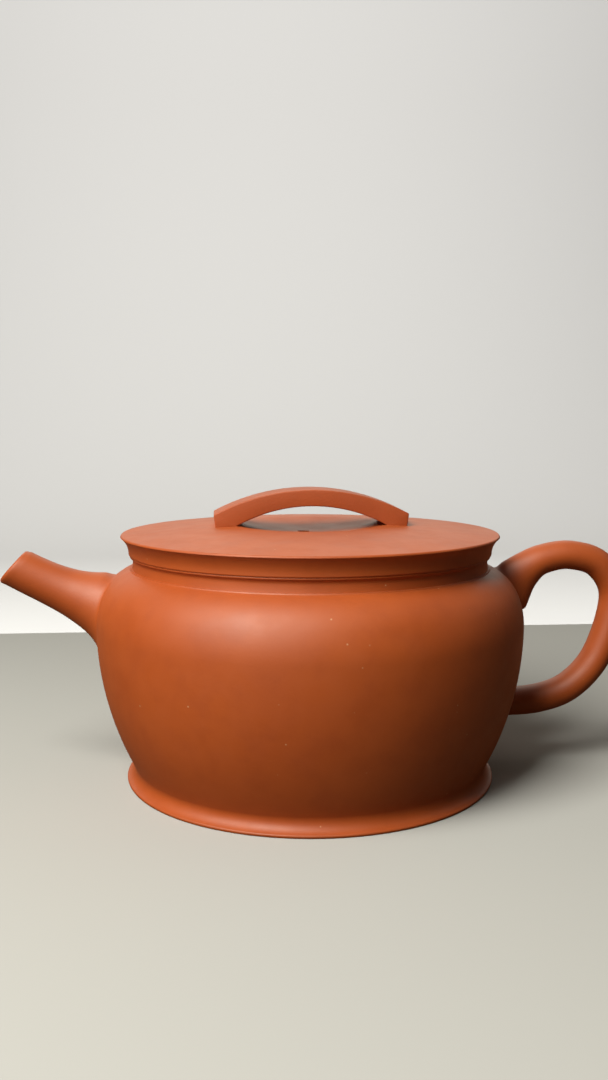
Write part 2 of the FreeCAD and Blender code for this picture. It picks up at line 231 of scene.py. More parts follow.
class StageSettings(bpy.types.PropertyGroup):
    """The floor, the lights and the camera"""

    floor: colour("Floor", "Colour that the floor and the wall show", (0.42, 0.415, 0.41))
    bounce: colour("Bounce", "Colour that the floor and the wall throw back", (0.11, 0.08, 0.05))
    floor_size: length("Floor size", "Width of the floor", 4.0)
    wall_distance: length("Wall distance", "Distance of the wall behind the pot", 0.7)
    room: colour("Room", "Colour of the dim light from all round", (0.022, 0.018, 0.012))
    warm: colour("Warm", "Colour of the lights on the pot", (1.0, 0.985, 0.87))
    plain: colour("Plain", "Colour of the light on the wall", (1.0, 1.0, 1.0))
    key_angle: angle("Key angle", "Angle of the main light round the pot", -42.0)
    key_height: angle("Key height", "Height of the main light above the floor", 46.5)
    key_distance: length("Key distance", "Distance of the main light", 0.55)
    key_width: length("Key width", "Width of the main light", 0.27)
    key_tall: length("Key tall", "Height of the main light's face and size of the weak one", 0.38)
    key_power: amount("Key power", "Power of the main light in watts", 5.4)
    light_aim: length("Light aim", "Height that the lights on the pot point at", 30.0 * MM)
    glow_size: length("Glow size", "Width of the light that stands for the bright wall", 1.0)
    glow_distance: length("Glow distance", "Distance of that light behind the pot", 0.65)
    glow_power: amount("Glow power", "Power of that light in watts", 4.5)
    wash_distance: length("Wash distance", "Distance behind the pot of the light on the wall", 0.15)
    wash_power: amount("Wash power", "Power of the light on the wall", 8.5)
    fill_angle: angle("Fill angle", "Angle of the weak light beside the handle", 100.0)
    fill_height: angle("Fill height", "Height of the weak light above the floor", 40.0)
    fill_power: amount("Fill power", "Power of the weak light", 0.2)
    ceiling_height: length("Ceiling height", "Height of the light over the pot", 1.2)
    ceiling_power: amount("Ceiling power", "Power of that light", 1.0)
    camera_angle: angle("Camera angle", "Angle of the camera round the pot, towards the handle", -5.0)
    camera_pitch: angle("Camera pitch", "How far the camera looks down", 6.735)
    camera_aim: angle("Camera aim", "How far the camera looks to the left of the axis", 0.327)
    camera_distance: length("Camera distance", "Distance of the camera from the axis", 221.1 * MM)
    camera_height: length("Camera height", "Height of the camera above the floor", 76.0 * MM)
    camera_lens: amount("Lens", "Focal length in millimetres", 35.0, 1.0)
    camera_near: length("Camera near", "Nearest distance that the camera shows", 10.0 * MM)


# Outlines


def turned(direction, turn):
    """A direction in an outline, turned anticlockwise."""
    return Matrix.Rotation(turn, 2) @ direction


def arc(start, leaving, end, steps):
    """Points after start on an arc that leaves it along a direction, and the direction at the end."""
    chord = end - start
    half_turn = math.atan2(leaving.cross(chord), leaving.dot(chord))
    points = []
    for step in range(1, steps + 1):
        share = step / steps
        reached = math.sin(half_turn * share) / math.sin(half_turn) if abs(half_turn) > 1e-6 else share
        points.append(start + turned(leaving, half_turn * share) * chord.length * reached)
    return points, turned(leaving, 2 * half_turn)


def arcs(corners, leaving, steps):
    """Points along arcs through the corners, each leaving as the last one ended, and the end direction."""
    points = [corners[0]]
    for start, end in zip(corners, corners[1:]):
        stretch, leaving = arc(start, leaving, end, steps)
        points.extend(stretch)
    return points, leaving


def inward(points, distance):
    """A line beside another one, at a distance on its left."""
    moved = []
    for index, point in enumerate(points):
        along = points[min(index + 1, len(points) - 1)] - points[max(index - 1, 0)]
        moved.append(point + turned(along.normalized(), math.pi / 2) * distance)
    return moved


def spread(start, end, steps):
    """Evenly spaced points after start on a straight line."""
    return [start.lerp(end, step / steps) for step in range(1, steps + 1)]


def upright(point):
    """A point or a direction of an outline, stood up in the plane of the spout and the handle."""
    return Vector((point.x, 0, point.y))


# Modelling by hand


def start_piece(name):
    """A new mesh in edit mode with nothing in it yet."""
    bpy.ops.object.select_all(action="DESELECT")
    bpy.ops.mesh.primitive_plane_add(size=MM)
    piece = bpy.context.object
    piece.name = name
    piece.data.name = name
    bpy.ops.object.mode_set(mode="EDIT")
    bpy.ops.mesh.delete(type="VERT")
    return piece


def draw(points):
    """Draws a chain of edges through points, by extruding one corner along it."""
    bpy.ops.mesh.primitive_plane_add(size=MM, location=points[0])
    bpy.ops.mesh.merge(type="CENTER")
    for before, after in zip(points, points[1:]):
        bpy.ops.mesh.extrude_vertices_move(TRANSFORM_OT_translate={"value": after - before})


def turn_on_wheel(name, outline, steps):
    """A piece turned round the pot's axis from its outline."""
    piece = start_piece(name)
    draw([upright(point) for point in outline])
    bpy.ops.mesh.select_all(action="SELECT")
    bpy.ops.mesh.spin(steps=steps, angle=FULL_TURN, center=(0, 0, 0), axis=(0, 0, 1))
    close_seams()
    return piece


def close_seams():
    """Merges corners that lie on each other and turns every face outwards."""
    bpy.ops.mesh.select_all(action="SELECT")
    bpy.ops.mesh.remove_doubles(threshold=MERGE_DISTANCE)
    bpy.ops.mesh.normals_make_consistent(inside=False)


def add_ring(centre, along, half_depth, half_width, corners):
    """A closed oval across a line that runs in the plane of the spout and the handle."""
    bpy.ops.mesh.primitive_circle_add(vertices=corners, radius=half_width, location=centre)
    bpy.ops.transform.resize(value=(half_depth / half_width, 1.0, 1.0), center_override=centre)
    lean = math.atan2(along.x, along.z)
    bpy.ops.transform.rotate(value=-lean, orient_axis="Y", center_override=centre)


def select_rings(piece, rings, corners):
    """Selects whole rings of a piece, and nothing else, by their numbers."""
    bpy.ops.mesh.select_all(action="DESELECT")
    mesh = bmesh.from_edit_mesh(piece.data)
    for vert in mesh.verts:
        vert.select_set(vert.index // corners in rings)
    mesh.select_flush(True)
    bmesh.update_edit_mesh(piece.data)


def skin_rings(piece, rings, corners):
    """Rings along a line, each joined to the one before it."""
    for index, ring in enumerate(rings):
        add_ring(*ring, corners)
        if index:
            select_rings(piece, (index - 1, index), corners)
            bpy.ops.mesh.bridge_edge_loops()


def luting_rings(ring, next_ring, size, drop=0.0, slope=0.0):
    """Rings from the edge of a clay seam up to a free ring, and how far each is pressed down.

    The seam is an arc that meets the free ring at a slope and runs out along the wall. On its underside
    it reaches further by the drop.
    """
    centre, along, half_depth, half_width = ring
    towards_wall = (centre - next_ring[0]).normalized()
    below = Vector((along.z, 0, -along.x)) * math.copysign(1, along.x)
    rings = []
    shares = []
    for step in range(SEAM_STEPS):
        turn = math.pi / 2 + (slope - math.pi / 2) * step / SEAM_STEPS
        grown = 1 - math.cos(turn) / math.cos(slope)
        share = 1 - (1 - math.sin(turn)) / (1 - math.sin(slope))
        wider = size * grown
        lower = drop * grown / 2
        place = centre + towards_wall * size / 4 * share + below * lower
        rings.append((place, along, half_depth + wider + lower, half_width + wider))
        shares.append(share)
    return rings, shares


def shape_with(piece, kind, **settings):
    """Gives the active piece a modifier with its settings and applies it."""
    bpy.ops.object.modifier_add(type=kind)
    modifier = piece.modifiers[-1]
    for name, value in settings.items():
        setattr(modifier, name, value)
    bpy.ops.object.modifier_apply(modifier=modifier.name)


def mark_rings(piece, rings, corners, weight=1.0):
    """The name of a new vertex group that holds whole rings of a piece."""
    group = piece.vertex_groups.new(name="marked_rings")
    for ring in rings:
        group.add(list(range(ring * corners, (ring + 1) * corners)), weight, "REPLACE")
    return group.name


def press_ring(piece, ring, share, corners):
    """Presses one ring of a piece a share of the way down into the skin of the pot's wall."""
    shape_with(
        piece,
        "SHRINKWRAP",
        target=bpy.data.objects["pot_body"],
        wrap_method="NEAREST_SURFACEPOINT",
        wrap_mode="ABOVE_SURFACE",
        offset=-SEAM_DEPTH,
        vertex_group=mark_rings(piece, [ring], corners, share),
    )
    bpy.ops.object.vertex_group_remove(all=True)


def relax(piece, rings, corners):
    """Evens out a run of rings without moving the rings beside them."""
    marked = mark_rings(piece, rings, corners)
    shape_with(piece, "SMOOTH", factor=0.5, iterations=SMOOTH_ROUNDS, vertex_group=marked)
    bpy.ops.object.vertex_group_remove(all=True)


def pierce(piece, place, along, radius, depth):
    """Drills a round hole through a piece."""
    bpy.ops.object.select_all(action="DESELECT")
    bpy.ops.mesh.primitive_cylinder_add(
        vertices=DRILL_CORNERS,
        radius=radius,
        depth=depth,
        location=place,
        rotation=along.to_track_quat("Z", "Y").to_euler(),
    )
    drill = bpy.context.object
    bpy.ops.object.select_all(action="DESELECT")
    piece.select_set(True)
    bpy.context.view_layer.objects.active = piece
    shape_with(piece, "BOOLEAN", object=drill, solver="EXACT")
    bpy.data.objects.remove(drill)


def give_clay(piece, clay):
    """Gives a piece its clay."""
    piece.data.materials.clear()
    piece.data.materials.append(clay)


def fire(piece, body, slot, clay, *nodes):
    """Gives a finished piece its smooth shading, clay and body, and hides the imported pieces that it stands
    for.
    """
    bpy.ops.object.mode_set(mode="OBJECT")
    bpy.ops.object.shade_smooth_by_angle(angle=SMOOTH_ANGLE)
    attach(piece, body)
    give_clay(piece, clay)
    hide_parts(*nodes)


# Clay


# Repeats in a metre of the patterns in the clay
PATCHES = 38.0
CLOUDS = 170.0
DUST = 2600.0
SPECK_CELLS = 760.0
SAND = 2300.0
TOOL_WAVES = 110.0
TOOL_DRAG = (60.0, 60.0, 1500.0)
SHEEN_PATCHES = 240.0

# How strongly they show, and the clay's own sheen and relief
CLOUD_SHARE = 0.45
DUST_SHARE = 0.22
SPECK_SHARE = 0.6
WAVE_SHARE = 0.6
ROUGHNESS_SPREAD = 0.03
SHEEN = 0.58
RELIEF = 0.1 * MM

VECTOR = "NodeSocketVector"
COLOUR = "NodeSocketColor"
VALUE = "NodeSocketFloat"


def feed(tree, socket, value):
    """Gives a socket a link from another socket, or else a value of its own."""
    if isinstance(value, bpy.types.NodeSocket):
        tree.links.new(value, socket)
    else:
        socket.default_value = value


def add_node(tree, kind, inputs, **settings):
    """A node with its settings and, by the names or numbers of its sockets, its input values or links."""
    node = tree.nodes.new(kind)
    for name, value in settings.items():
        setattr(node, name, value)
    for name, value in inputs.items():
        feed(tree, node.inputs[name], value)
    return node


def noise(tree, place, scale, detail=4.0, roughness=0.55):
    """The value of a noise of a size, between 0 and 1."""
    inputs = {"Vector": place, "Scale": scale, "Detail": detail, "Roughness": roughness}
    return add_node(tree, "ShaderNodeTexNoise", inputs).outputs["Fac"]


def ramp(tree, value, low, high, to_low=0.0, to_high=1.0):
    """A value stretched from one range to another, kept inside it, with soft ends."""
    inputs = {"Value": value, "From Min": low, "From Max": high, "To Min": to_low, "To Max": to_high}
    return add_node(tree, "ShaderNodeMapRange", inputs, interpolation_type="SMOOTHSTEP").outputs["Result"]


def mixed(tree, share, first, second):
    """A colour between two."""
    # The node's colour sockets come after those for numbers and vectors
    inputs = {0: share, 6: first, 7: second}
    return add_node(tree, "ShaderNodeMix", inputs, data_type="RGBA").outputs[2]


def maths(tree, operation, first, second):
    """One sum of two values."""
    return add_node(tree, "ShaderNodeMath", {0: first, 1: second}, operation=operation).outputs[0]


def new_group(name, inputs, outputs):
    """An empty shader node group with its sockets, as (group, input node, output node)."""
    group = bpy.data.node_groups.new(name, "ShaderNodeTree")
    for socket, kind in inputs:
        group.interface.new_socket(name=socket, in_out="INPUT", socket_type=kind)
    for socket, kind in outputs:
        group.interface.new_socket(name=socket, in_out="OUTPUT", socket_type=kind)
    return group, group.nodes.new("NodeGroupInput"), group.nodes.new("NodeGroupOutput")


def clay_mottle():
    """A group for the uneven colour of fired clay, with sparse grains of pale sand."""
    group, given, result = new_group(
        "clay_mottle",
        [("Place", VECTOR), ("Clay", COLOUR), ("Warm", COLOUR), ("Deep", COLOUR), ("Speck", COLOUR)],
        [("Color", COLOUR)],
    )
    place = given.outputs["Place"]
    patches = ramp(group, noise(group, place, PATCHES, 3.0), 0.35, 0.68)
    clouds = ramp(group, noise(group, place, CLOUDS), 0.40, 0.72)
    dust = ramp(group, noise(group, place, DUST, 2.0), 0.30, 0.75)
    base = mixed(group, patches, given.outputs["Clay"], given.outputs["Warm"])
    base = mixed(group, maths(group, "MULTIPLY", clouds, CLOUD_SHARE), base, given.outputs["Deep"])
    base = mixed(group, maths(group, "MULTIPLY", dust, DUST_SHARE), base, given.outputs["Warm"])
    inputs = {"Vector": place, "Scale": SPECK_CELLS, "Randomness": 1.0}
    cells = add_node(group, "ShaderNodeTexVoronoi", inputs)
    chosen = add_node(group, "ShaderNodeSeparateColor", {"Color": cells.outputs["Color"]})
    rare = ramp(group, chosen.outputs["Red"], 0.965, 0.99)
    dot = ramp(group, cells.outputs["Distance"], 0.08, 0.18, 1.0, 0.0)
    specks = maths(group, "MULTIPLY", rare, dot)
    base = mixed(group, maths(group, "MULTIPLY", specks, SPECK_SHARE), base, given.outputs["Speck"])
    feed(group, result.inputs["Color"], base)
    return group


def clay_grain():
    """A group for the height of sandy clay: fine grain, soft waves and the drag of the burnishing tool."""
    group, given, result = new_group(
        "clay_grain",
        [("Place", VECTOR), ("Sand", VALUE), ("Drag", VALUE)],
        [("Height", VALUE)],
    )
    place = given.outputs["Place"]
    sand = noise(group, place, SAND, 3.0, 0.6)
    waves = noise(group, place, TOOL_WAVES, 2.0)
    stretched = add_node(group, "ShaderNodeMapping", {"Vector": place, "Scale": TOOL_DRAG})
    drag = noise(group, stretched.outputs["Vector"], 1.0, 2.0)
    height = maths(group, "MULTIPLY", sand, given.outputs["Sand"])
    height = maths(group, "ADD", height, maths(group, "MULTIPLY", drag, given.outputs["Drag"]))
    height = maths(group, "ADD", height, maths(group, "MULTIPLY", waves, WAVE_SHARE))
    feed(group, result.inputs["Height"], height)
    return group


def add_group(tree, name, make, inputs):
    """A node that holds a group, which is made the first time that it is asked for."""
    group = bpy.data.node_groups.get(name) or make()
    return add_node(tree, "ShaderNodeGroup", inputs, node_tree=group)


def clay_material(name, clay, warm, sand, drag, roughness, bump):
    """A clay with its mottled colour, its grain and a roughness that varies a little, made once."""
    found = bpy.data.materials.get(name)
    if found:
        return found
    colours = bpy.context.scene.teapot_clay
    tints = {"Clay": clay, "Warm": warm, "Deep": colours.deep, "Speck": colours.speck}
    opaque = {socket: (*tint, 1.0) for socket, tint in tints.items()}
    material = bpy.data.materials.new(name)
    material.use_nodes = True
    tree = material.node_tree
    shader = tree.nodes["Principled BSDF"]
    place = tree.nodes.new("ShaderNodeTexCoord").outputs["Object"]
    mottle = add_group(tree, "clay_mottle", clay_mottle, {"Place": place, **opaque})
    grain = add_group(tree, "clay_grain", clay_grain, {"Place": place, "Sand": sand, "Drag": drag})
    inputs = {"Strength": bump, "Distance": RELIEF, "Height": grain.outputs["Height"]}
    relief = add_node(tree, "ShaderNodeBump", inputs)
    smoothest, roughest = roughness - ROUGHNESS_SPREAD, roughness + ROUGHNESS_SPREAD
    uneven = ramp(tree, noise(tree, place, SHEEN_PATCHES), 0.3, 0.7, smoothest, roughest)
    feed(tree, shader.inputs["Base Color"], mottle.outputs["Color"])
    feed(tree, shader.inputs["Roughness"], uneven)
    feed(tree, shader.inputs["Normal"], relief.outputs["Normal"])
    shader.inputs["Specular IOR Level"].default_value = SHEEN
    return material


def burnished_clay():
    """The satin clay of the pot, its spout and handle, and the lid."""
    colours = bpy.context.scene.teapot_clay
    return clay_material(
        "clay_burnished", colours.body, colours.warm, sand=1.0, drag=0.35, roughness=0.56, bump=0.12
    )


def cut_clay():
    """The sandier clay of the bridge, which was cut and not burnished."""
    colours = bpy.context.scene.teapot_clay
    return clay_material(
        "clay_cut", colours.cut, colours.body, sand=1.8, drag=0.2, roughness=0.60, bump=0.30
    )


def raw_clay():
    """The matte clay of the hidden pieces."""
    colours = bpy.context.scene.teapot_clay
    return clay_material(
        "clay_raw", colours.raw, colours.body, sand=1.6, drag=0.6, roughness=0.68, bump=0.35
    )


# The pot


def pot_outline(sizes):
    """The closed outline of the pot's clay: foot, wall, shoulder, neck and mouth, then back down inside."""
    steps = sizes.arc_steps
    belly = Vector((sizes.belly_radius, sizes.belly_height))
    waist = Vector((sizes.waist_radius, bottom("body_wall")))
    throat = Vector((sizes.throat_radius, sizes.throat_height))
    heel = Vector((sizes.heel_radius, sizes.heel_height))
    edge = Vector((sizes.foot_radius, sizes.foot_edge))
    rim = Vector((sizes.foot_radius - sizes.foot_round, 2 * sizes.foot_edge))
    sole = Vector((rim.x, 0))
    shoulder = Vector((reach("shoulder_disc"), top("body_wall")))
    corner = Vector((sizes.corner_radius, sizes.corner_height))
    cove = Vector((sizes.cove_radius, top("shoulder_disc")))
    ledge_foot = cove + OUT * sizes.ledge
    ledge_edge = ledge_foot + (UP - OUT / 2) * sizes.ledge_height
    neck = Vector((sizes.neck_radius, top("neck_collar")))
    seat = top("mouth_ring")
    lip = Vector((reach("mouth_ring"), seat - sizes.lip_round))
    lip_top = Vector((lip.x - sizes.lip_round, seat))
    mouth_top = Vector((sizes.mouth_radius + sizes.lip_round, seat))
    mouth = Vector((sizes.mouth_radius, seat - sizes.lip_round))

    side, down = arcs([belly, waist], DOWN, 3 * steps)
    foot, _ = arcs([waist, throat, heel, rim, edge, sole], down, steps)
    over, _ = arcs([belly, shoulder, corner, ledge_foot], UP, steps)
    hollow, _ = arcs([neck, cove + UP * sizes.ledge_height], DOWN, steps)
    flare, _ = arcs([neck, lip, lip_top], UP, steps)
    mouth_edge, _ = arcs([mouth_top, mouth], -OUT, steps)
    outside = foot[::-1] + side[::-1][1:] + over[1:] + [ledge_edge] + hollow[::-1] + flare[1:]

    inner_side = inward(side[::-1], sizes.wall)
    inner_shoulder = inward(over, sizes.wall)
    ceiling = inner_shoulder[-1]
    under_mouth = Vector((sizes.mouth_radius, ceiling.y))
    floor = bottom("body_wall")
    floor_edge = Vector((inner_side[0].x, floor))
    floor_rim = Vector((reach("base_disc"), floor))
    foot_inner = Vector((floor_rim.x, 0))
    inside = [under_mouth] + inner_shoulder[::-1] + inner_side[::-1][1:] + [floor_edge, floor_rim]
    return outside + mouth_edge + inside + [foot_inner, outside[0]]


class TEAPOT_OT_pot_body(bpy.types.Operator):
    """Turn the pot's wall with its foot, shoulder, neck and mouth"""

    bl_idname = "teapot.pot_body"
    bl_label = "Pot Body"

    def execute(self, context):
        sizes = context.scene.teapot_pot
        piece = turn_on_wheel("pot_body", pot_outline(sizes), sizes.turn_steps)
        nodes = ("foot_ring", "body_wall", "shoulder_disc", "neck_collar", "mouth_ring")
        fire(piece, "pot", "burnished_clay", burnished_clay(), *nodes)
        return {"FINISHED"}


class TEAPOT_OT_pot_floor(bpy.types.Operator):
    """Turn the disc that closes the pot inside its foot"""

    bl_idname = "teapot.pot_floor"
    bl_label = "Pot Floor"

    def execute(self, context):
        sizes = context.scene.teapot_pot
        low, high = bottom("base_disc"), top("base_disc")
        rim = reach("base_disc")
        outline = [Vector((0, low))]
        outline += spread(outline[0], Vector((rim, low)), sizes.arc_steps)
        outline += [Vector((rim, high))]
        outline += spread(outline[-1], Vector((0, high)), sizes.arc_steps)
        piece = turn_on_wheel("pot_floor", outline, sizes.turn_steps)
        fire(piece, "pot", "raw_clay", raw_clay(), "base_disc")
        return {"FINISHED"}


# The spout


def spout_route(pot, spout):
    """The start of the spout's middle line, its direction there and its end, as in an outline."""
    root = Vector((-pot.belly_radius + spout.root_depth, pot.belly_height + spout.root_rise))
    leaving = Vector((-math.cos(spout.root_slope), math.sin(spout.root_slope)))
    tip = Vector((-pot.belly_radius - spout.reach, pot.belly_height + spout.rise))
    return root, leaving, tip


def spout_rings(pot, spout):
    """Rings of the spout, up its outside from where it stands clear, over its lip and back down its bore."""
    root, leaving, tip = spout_route(pot, spout)
    line, _ = arc(root, leaving, tip, spout.rings)
    line = [root] + line
    mouth_way = Vector((-math.cos(spout.mouth_tilt), math.sin(spout.mouth_tilt)))
    tip_radius = spout.tip_diameter / 2
    bore_tip = tip_radius - spout.lip
    outside = []
    bore = []
    for index, point in enumerate(line):
        share = index / (len(line) - 1)
        along = (line[min(index + 1, len(line) - 1)] - line[max(index - 1, 0)]).normalized()
        along = along.lerp(mouth_way, share**spout.mouth_power).normalized()
        radius = tip_radius + (spout.root_diameter / 2 - tip_radius) * (1 - share) ** spout.flare_power
        bore_radius = bore_tip + (spout.bore_diameter / 2 - bore_tip) * (1 - share)
        centre, way = upright(point), upright(along)
        bore.append((centre, way, bore_radius, bore_radius))
        if (point - root).length > spout.free_from:
            outside.append((centre, way, radius, radius))
    lip = lip_rings(outside.pop(), bore.pop())
    # The lip's first and last rings take the place of the ones beside it
    return outside[:-1] + lip + bore[-2::-1]


def lip_rings(outer, inner):
    """Rings over a half-round lip between an outer and an inner ring in one plane."""
    centre, way, outer_radius, _ = outer
    inner_radius = inner[2]
    middle = (outer_radius + inner_radius) / 2
    half = (outer_radius - inner_radius) / 2
    rings = []
    for step in range(LIP_STEPS + 1):
        turn = math.pi * step / LIP_STEPS
        radius = middle + half * math.cos(turn)
        rings.append((centre + way * half * (math.sin(turn) - 1), way, radius, radius))
    return rings


class TEAPOT_OT_spout(bpy.types.Operator):
    """Draw the spout and lute it onto the wall"""

    bl_idname = "teapot.spout"
    bl_label = "Spout"

    def execute(self, context):
        scene = context.scene
        sizes = scene.teapot_spout
        piece = start_piece("spout_tube")
        free = spout_rings(scene.teapot_pot, sizes)
        seam, shares = luting_rings(*free[:2], sizes.luting, sizes.luting_drop, sizes.luting_slope)
        rings = seam + free
        skin_rings(piece, rings, sizes.corners)
        select_rings(piece, (0, len(rings) - 1), sizes.corners)
        bpy.ops.mesh.bridge_edge_loops()
        bpy.ops.object.mode_set(mode="OBJECT")
        for ring, share in enumerate(shares):
            press_ring(piece, ring, share, sizes.corners)
        relax(piece, range(1, len(seam) + SOFT_RINGS), sizes.corners)
        bpy.ops.object.mode_set(mode="EDIT")
        close_seams()
        fire(piece, "pot", "burnished_clay", burnished_clay(), "spout")
        return {"FINISHED"}


# The handle


# Middle line of the handle, out from the belly and up from the belly's height, in millimetres
HANDLE_LINE = (
    (-4.8, 7.4),
    (1.6, 10.7),
    (5.8, 12.4),
    (11.8, 13.1),
    (18.2, 10.9),
    (21.8, 3.9),
    (18.6, -8.4),
    (12.6, -15.6),
    (5.2, -18.5),
    (-4.8, -19.2),
)


def smooth_line(corners, steps):
    """Points on a smooth line through the corners."""
    points = []
    last = len(corners) - 1
    for index in range(last):
        before, start, end, after = (corners[min(max(index + k, 0), last)] for k in (-1, 0, 1, 2))
        leave, arrive = start + (end - before) / 6, end - (after - start) / 6
        points.extend(interpolate_bezier(start, leave, arrive, end, steps + 1)[:-1])
    return points + [corners[-1]]


def handle_rings(pot, sizes):
    """Ovals along the free stretch of the handle, whose underside drops to a tail at its upper end."""
    corners = [
        Vector((pot.belly_radius + out * MM, 0, pot.belly_height + up * MM)) for out, up in HANDLE_LINE
    ]
    line = smooth_line(corners, sizes.steps)
    steps = [(after - before).length for before, after in zip(line, line[1:])]
    rings = []
    for index, point in enumerate(line):
        gone = sum(steps[:index])
        if not sizes.free_from < gone < sum(steps) - sizes.free_from:
            continue
        along = (line[index + 1] - line[index - 1]).normalized()
        drop = sizes.root_drop * math.exp(-((gone / sizes.root_fade) ** 2))
        under = Vector((along.z, 0, -along.x))
        rings.append((point + under * drop / 2, along, (sizes.thickness + drop) / 2, sizes.width / 2))
    return rings


class TEAPOT_OT_handle(bpy.types.Operator):
    """Draw the ear-shaped handle and lute it onto the shoulder and the wall"""

    bl_idname = "teapot.handle"
    bl_label = "Handle"

    def execute(self, context):
        scene = context.scene
        sizes = scene.teapot_handle
        piece = start_piece("handle_loop")
        free = handle_rings(scene.teapot_pot, sizes)
        upper_seam, shares = luting_rings(*free[:2], sizes.luting)
        lower_seam, _ = luting_rings(*free[:-3:-1], sizes.luting)
        rings = upper_seam + free + lower_seam[::-1]
        last = len(rings) - 1
        skin_rings(piece, rings, sizes.corners)
        for end in (0, last):
            select_rings(piece, (end,), sizes.corners)
            bpy.ops.mesh.edge_face_add()
        bpy.ops.object.mode_set(mode="OBJECT")
        for ring, share in enumerate(shares):
            press_ring(piece, ring, share, sizes.corners)
            press_ring(piece, last - ring, share, sizes.corners)
        soft = len(shares) + SOFT_RINGS
        relax(piece, [*range(1, soft), *range(last - soft + 1, last)], sizes.corners)
        bpy.ops.object.mode_set(mode="EDIT")
        close_seams()
        fire(piece, "pot", "burnished_clay", burnished_clay(), "handle")
        return {"FINISHED"}


# The lid


def crown_height(lid, radius):
    """The height of the crowned top at a distance from the axis, counted from its highest point."""
    return math.sqrt(lid.crown_radius**2 - radius**2) - lid.crown_radius


def lid_outline(pot, lid):
    """The outline of the lid's cover: dish, crowned top, rim, hollowed side and underside."""
    steps = pot.arc_steps
    seat = bottom("lid_edge_band")
    rim_radius = reach("lid_plate")
    rim = Vector((rim_radius, seat + lid.rim_height))
    crown_edge = Vector((rim_radius - lid.edge_round, rim.y + lid.edge_round))
    dish_radius = reach("recess_dish")
    dish_rim = Vector((dish_radius, top("recess_dish")))
    dish_floor = Vector((0, dish_rim.y - lid.dish_depth))
    bowl, _ = arcs([dish_floor, dish_rim], OUT, 2 * steps)
    crown_start = dish_radius + lid.dish_round
    crown = []
    for step in range(3 * steps + 1):
        radius = crown_start + (crown_edge.x - crown_start) * step / (3 * steps)
        rise = crown_height(lid, radius) - crown_height(lid, crown_edge.x)
        crown.append(Vector((radius, crown_edge.y + rise)))
    band = Vector((lid.band_radius, seat + lid.edge_round))
    band_foot = Vector((lid.band_radius - lid.edge_round, seat))
    rim_round, _ = arcs([rim, crown_edge], UP, steps)
    side, _ = arcs([band, rim], UP, steps)
    foot, _ = arcs([band, band_foot], DOWN, steps)
    flange_outside = Vector((reach("lid_flange"), seat))
    vault_edge = Vector((reach("lid_flange") - lid.flange_wall, top("lid_flange")))
    vault_top = Vector((dish_radius, dish_rim.y - lid.plate_thickness))
    under = Vector((dish_radius, bottom("recess_dish")))
    outside = bowl[:-1] + crown + rim_round[::-1][1:] + side[::-1][1:] + foot[1:]
    flange_top = Vector((flange_outside.x, top("lid_flange")))
    return outside + [flange_outside, flange_top, vault_edge, vault_top, under, Vector((0, under.y))]


def flange_outline(pot, lid):
    """The closed outline of the flange, eased at its lower edges."""
    outer = reach("lid_flange")
    inner = outer - lid.flange_wall
    low, high = bottom("lid_flange"), top("lid_flange")
    ease = lid.flange_taper
    soft = ease / 2
    foot, _ = arcs([Vector((outer, low + ease)), Vector((outer - ease, low))], DOWN, pot.arc_steps)
    edge, _ = arcs([Vector((inner + soft, low)), Vector((inner, low + soft))], -OUT, pot.arc_steps)
    return [Vector((outer, high))] + foot + edge + [Vector((inner, high)), Vector((outer, high))]


class TEAPOT_OT_lid(bpy.types.Operator):
    """Turn the lid with its rim and its dish, and pierce the steam vent"""

    bl_idname = "teapot.lid"
    bl_label = "Lid"

    def execute(self, context):
        scene = context.scene
        pot, sizes = scene.teapot_pot, scene.teapot_lid
        piece = turn_on_wheel("lid_cover", lid_outline(pot, sizes), pot.turn_steps)
        bpy.ops.object.mode_set(mode="OBJECT")
        vent = Vector((-sizes.vent_offset, 0, top("recess_dish")))
        depth = 4 * (top("recess_dish") - bottom("recess_dish"))
        pierce(piece, vent, Vector((0, 0, 1)), sizes.vent_diameter / 2, depth)
        nodes = ("lid_edge_band", "lid_plate", "recess_dish")
        fire(piece, "lid", "burnished_clay", burnished_clay(), *nodes)
        return {"FINISHED"}


class TEAPOT_OT_flange(bpy.types.Operator):
    """Turn the wall under the lid that drops into the mouth"""

    bl_idname = "teapot.flange"
    bl_label = "Lid Flange"

    def execute(self, context):
        scene = context.scene
        pot, sizes = scene.teapot_pot, scene.teapot_lid
        piece = turn_on_wheel("lid_collar", flange_outline(pot, sizes), pot.turn_steps)
        fire(piece, "lid", "raw_clay", raw_clay(), "lid_flange")
        return {"FINISHED"}


# The bridge


def bridge_lines(sizes):
    """The under and the upper line of the strap, from foot to foot, with as many points each."""
    dish_rim = top("recess_dish")
    inside = reach("recess_dish") - sizes.foot_lap
    outside = inside + sizes.foot_length
    crest = Vector((0, top("bridge_knob")))
    end = Vector((outside + sizes.end_lean, dish_rim + sizes.end_height))
    foot = Vector((inside, dish_rim))
    under_crest = crest - UP * sizes.thickness
    over, _ = arc(crest, OUT, end, sizes.steps)
    under, _ = arc(under_crest, OUT, foot, sizes.steps)
    over = [crest] + over + [Vector((outside, dish_rim - sizes.sink))]
    under = [under_crest] + under + [Vector((inside, dish_rim - sizes.sink))]
    lines = []
    for half in (under, over):
        mirrored = [Vector((-point.x, point.y)) for point in half[:0:-1]]
        lines.append([upright(point) for point in mirrored + half])
    return lines


